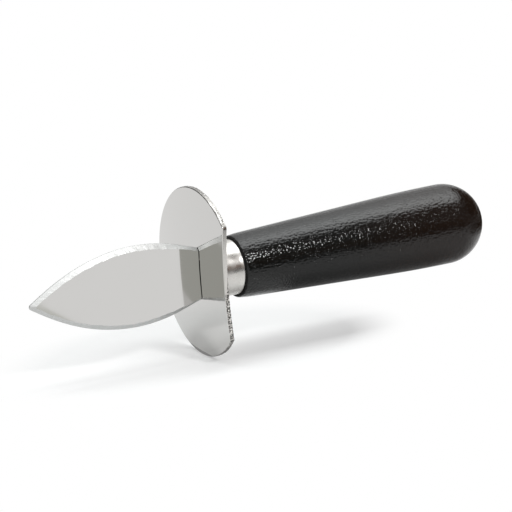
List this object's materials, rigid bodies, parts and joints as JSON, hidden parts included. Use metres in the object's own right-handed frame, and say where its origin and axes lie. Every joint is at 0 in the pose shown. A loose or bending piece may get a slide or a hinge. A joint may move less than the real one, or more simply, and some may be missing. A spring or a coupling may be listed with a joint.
{
  "type": "oyster knife",
  "caption": "Oyster knife with a short leaf blade, a domed round guard with one straight side, a polished ferrule and a turned black handle.",
  "frame": {"origin": "on the straight side of the guard, level with the knife's axis and midway through the guard's edge", "axes": "+X along the knife from the blade's tip to the butt, +Z along the blade's width, -Y out of the guard's straight side"},
  "size_m": [0.1646, 0.0485, 0.0556],
  "materials": {
    "blade_steel": "fine satin stainless, edges left coarse from the grinding belt",
    "guard_steel": "fine satin stainless sheet with a punched, grainy edge",
    "ferrule_steel": "polished drawn tube",
    "lacquered_wood": "black lacquer over open-grained hardwood, satin to gloss",
    "cured_resin": "cured epoxy, hidden in the bore"
  },
  "bodies": {
    "root": {"blade": "blade_steel", "guard": "guard_steel", "ferrule": "ferrule_steel", "handle": "lacquered_wood", "tang_resin": "cured_resin"}
  },
  "joints": []
}
